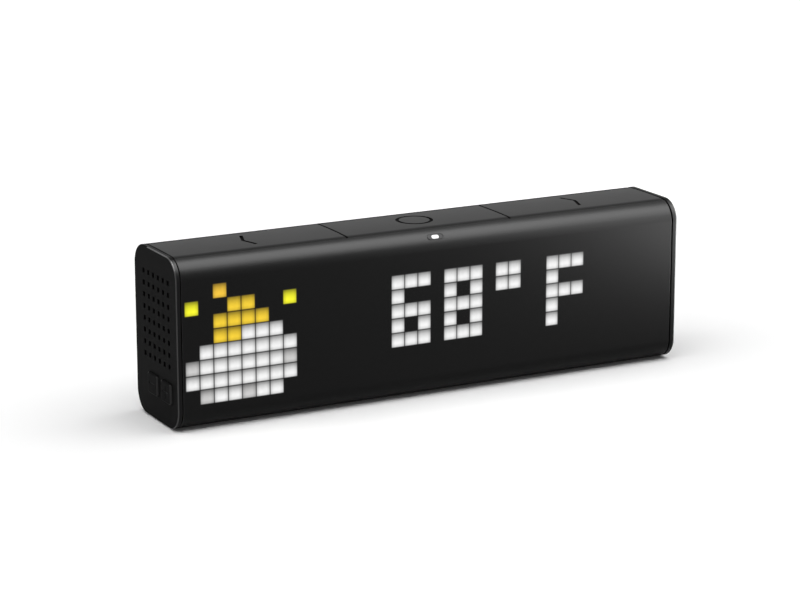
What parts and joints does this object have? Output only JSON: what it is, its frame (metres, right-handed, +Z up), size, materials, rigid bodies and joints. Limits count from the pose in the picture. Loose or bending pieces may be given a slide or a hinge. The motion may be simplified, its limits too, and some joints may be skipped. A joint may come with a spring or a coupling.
{
  "type": "smart pixel clock",
  "caption": "Desktop pixel clock: a long dark case with rounded edges, a front field of lit square pixels, flush top buttons, end-cap grilles and small raised end keys.",
  "frame": {"origin": "middle of the footprint, on the surface that the foot pads stand on", "axes": "+X along the front from the volume keys' end to the power key's end, +Y from the lit front to the back, +Z up"},
  "size_m": [0.2026, 0.036, 0.061],
  "materials": {
    "front_gloss": "smoked, glossy",
    "case_plastic": "fine matte texture",
    "button_plastic": "fine matte texture",
    "key_plastic": "satin",
    "inner_plastic": "matte",
    "lattice_plastic": "matte, light-tight",
    "diffuser_film": "milky film",
    "circuit_board": "solder mask",
    "switch_housing": "matte",
    "switch_plunger": "satin",
    "shield_steel": "tinned",
    "contact_plastic": "matte",
    "socket_plastic": "matte",
    "ribbon_film": "satin film",
    "lead_sheath": "matte",
    "foot_rubber": "matte",
    "screw_steel": "zinc plated",
    "window_plastic": "milky",
    "sensor_chip": "matte",
    "mesh_cloth": "fine dust mesh",
    "gasket_foam": "foam",
    "speaker_plastic": "matte",
    "cone_paper": "coated paper",
    "magnet_steel": "plated"
  },
  "bodies": {
    "clock": {"board_screws": "screw_steel", "button_board": "circuit_board", "button_deck": "inner_plastic", "button_ribbon": "ribbon_film", "case_screws": "screw_steel", "deck_screws": "screw_steel", "diffuser_sheet": "diffuser_film", "display_ribbon": "ribbon_film", "ear_screws": "screw_steel", "end_cap_screws": "screw_steel", "front_cover": "front_gloss", "front_foot_pad": "foot_rubber", "inner_frame": "inner_plastic", "lead_sockets": "socket_plastic", "left_end_cap": "case_plastic", "left_grille_mesh": "mesh_cloth", "left_speaker_basket": "speaker_plastic", "left_speaker_cone": "cone_paper", "left_speaker_gasket": "gasket_foam", "left_speaker_lead": "lead_sheath", "left_speaker_magnet": "magnet_steel", "light_sensor": "sensor_chip", "main_board": "circuit_board", "pixel_board": "circuit_board", "pixel_lattice": "lattice_plastic", "power_board": "circuit_board", "power_board_lead": "lead_sheath", "power_inlet_contacts": "contact_plastic", "power_inlet_shell": "shield_steel", "power_switch": "switch_housing", "processor_shield": "shield_steel", "rear_foot_pad": "foot_rubber", "rear_housing": "case_plastic", "ribbon_sockets": "socket_plastic", "right_end_cap": "case_plastic", "right_grille_mesh": "mesh_cloth", "right_speaker_basket": "speaker_plastic", "right_speaker_cone": "cone_paper", "right_speaker_gasket": "gasket_foam", "right_speaker_lead": "lead_sheath", "right_speaker_magnet": "magnet_steel", "sensor_window": "window_plastic", "top_switches": "switch_housing", "volume_board": "circuit_board", "volume_board_lead": "lead_sheath", "volume_switches": "switch_housing", "wireless_module": "shield_steel"},
    "left_button_body": {"left_button": "button_plastic", "left_switch_plunger": "switch_plunger"},
    "centre_button_body": {"centre_button": "button_plastic", "centre_switch_plunger": "switch_plunger"},
    "right_button_body": {"right_button": "button_plastic", "right_switch_plunger": "switch_plunger"},
    "volume_up_body": {"volume_up_key": "key_plastic", "volume_up_plunger": "switch_plunger"},
    "volume_down_body": {"volume_down_key": "key_plastic", "volume_down_plunger": "switch_plunger"},
    "power_body": {"power_key": "key_plastic", "power_plunger": "switch_plunger"}
  },
  "joints": [
    {"name": "left_button_press", "type": "slide", "parent": "clock", "child": "left_button_body", "axis": [0, 0, -1], "range_m": [0, 0.0004], "stiffness_N_per_m": 3000, "springref_m": -0.0002},
    {"name": "centre_button_press", "type": "slide", "parent": "clock", "child": "centre_button_body", "axis": [0, 0, -1], "range_m": [0, 0.0004], "stiffness_N_per_m": 3000, "springref_m": -0.0002},
    {"name": "right_button_press", "type": "slide", "parent": "clock", "child": "right_button_body", "axis": [0, 0, -1], "range_m": [0, 0.0004], "stiffness_N_per_m": 3000, "springref_m": -0.0002},
    {"name": "volume_up_press", "type": "slide", "parent": "clock", "child": "volume_up_body", "axis": [1, 0, 0], "range_m": [0, 0.0004], "stiffness_N_per_m": 1500, "springref_m": -0.0001},
    {"name": "volume_down_press", "type": "slide", "parent": "clock", "child": "volume_down_body", "axis": [1, 0, 0], "range_m": [0, 0.0004], "stiffness_N_per_m": 1500, "springref_m": -0.0001},
    {"name": "power_press", "type": "slide", "parent": "clock", "child": "power_body", "axis": [-1, 0, 0], "range_m": [0, 0.0004], "stiffness_N_per_m": 1500, "springref_m": -0.0001}
  ]
}
